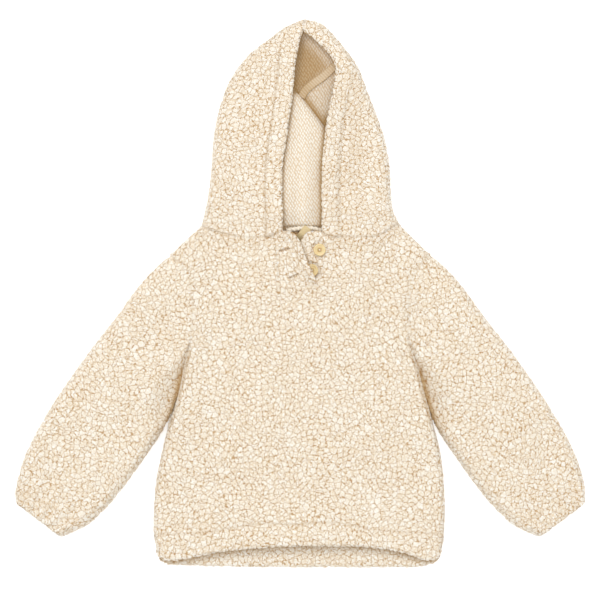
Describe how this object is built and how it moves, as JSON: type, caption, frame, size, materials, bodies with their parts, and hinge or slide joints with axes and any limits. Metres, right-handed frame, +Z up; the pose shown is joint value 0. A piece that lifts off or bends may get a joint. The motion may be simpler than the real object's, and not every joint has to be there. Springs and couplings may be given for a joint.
{
  "type": "hooded sherpa fleece pullover",
  "caption": "Toddler's hooded sherpa fleece pullover laid flat, with a buttoned neck placket, elastic cuffs and a double turned hem.",
  "frame": {"origin": "on the plane the garment lies on, below the middle of its bounding box", "axes": "+X towards the wearer's left sleeve, +Y from the hem to the hood, +Z up out of the garment's front"},
  "size_m": [0.5698, 0.548, 0.0216],
  "materials": {
    "fleece": "curly cream sherpa pile",
    "knit": "cream knit backing",
    "ribbon": "plain gold ribbon",
    "button": "pale yellow, satin"
  },
  "bodies": {
    "root": {"front_body": "fleece", "back_body": "fleece", "sleeve_right": "fleece", "sleeve_left": "fleece", "hood_right": "fleece", "hood_left": "fleece", "hood_fold": "knit", "hood_seam_tape": "knit", "neck_roll": "knit", "neck_label": "ribbon", "placket_over": "fleece", "placket_under": "fleece", "button_upper": "button", "button_lower": "button"}
  },
  "joints": []
}
